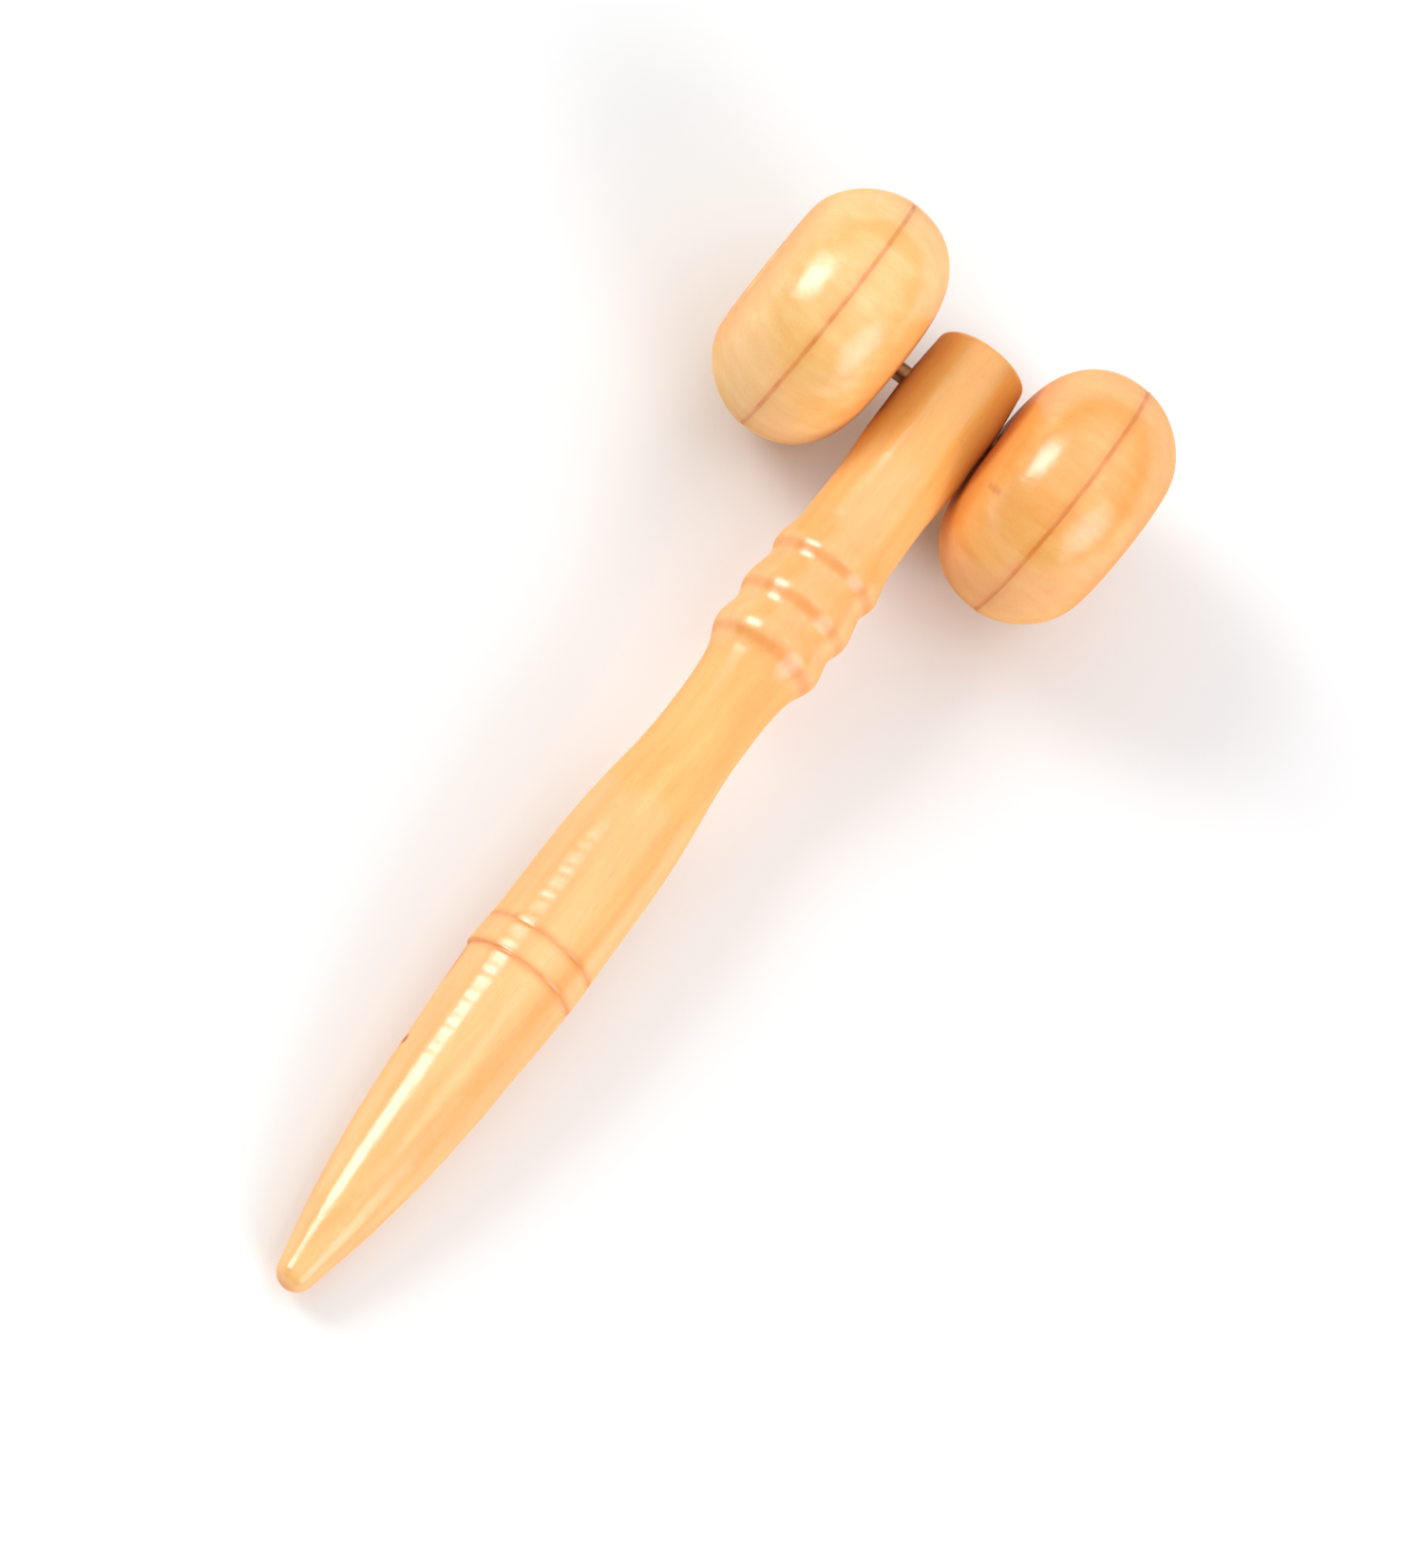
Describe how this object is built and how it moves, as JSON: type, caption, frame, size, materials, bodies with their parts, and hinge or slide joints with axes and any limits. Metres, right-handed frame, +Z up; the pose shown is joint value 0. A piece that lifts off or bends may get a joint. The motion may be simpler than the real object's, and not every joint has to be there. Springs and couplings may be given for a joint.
{
  "type": "foot massage roller",
  "caption": "Hand-held turned wooden massager: a pointed, beaded handle whose head carries barrel rollers that spin on a steel axle.",
  "frame": {"origin": "centre of the underside of the object's box, on the surface that the rollers stand on", "axes": "+X from the pointed tip towards the head, +Y towards the left roller, along the axle, +Z up"},
  "size_m": [0.1856, 0.0664, 0.041],
  "materials": {
    "handle_wood": "turned pale hardwood under clear gloss varnish",
    "roller_wood": "turned pale hardwood under clear gloss varnish",
    "axle_steel": "drawn steel rod, browned with tarnish",
    "washer_zinc": "zinc-plated steel",
    "cap_zinc": "zinc-plated pressed steel"
  },
  "bodies": {
    "handle_body": {"handle": "handle_wood", "axle": "axle_steel", "cap_left": "cap_zinc", "cap_right": "cap_zinc"},
    "left_float": {"washer_left": "washer_zinc"},
    "left_roller": {"roller_left": "roller_wood"},
    "right_float": {"washer_right": "washer_zinc"},
    "right_roller": {"roller_right": "roller_wood"}
  },
  "joints": [
    {"name": "left_roller_float", "type": "slide", "parent": "handle_body", "child": "left_float", "axis": [0, 1, 0], "range_m": [-0.0014, 0]},
    {"name": "left_roller_spin", "type": "hinge", "parent": "left_float", "child": "left_roller", "pos_m": [0.07231, 0.0219, 0.0205], "axis": [0, 1, 0], "continuous": true},
    {"name": "right_roller_float", "type": "slide", "parent": "handle_body", "child": "right_float", "axis": [0, -1, 0], "range_m": [0, 0.0014]},
    {"name": "right_roller_spin", "type": "hinge", "parent": "right_float", "child": "right_roller", "pos_m": [0.07231, -0.0219, 0.0205], "axis": [0, 1, 0], "continuous": true}
  ]
}
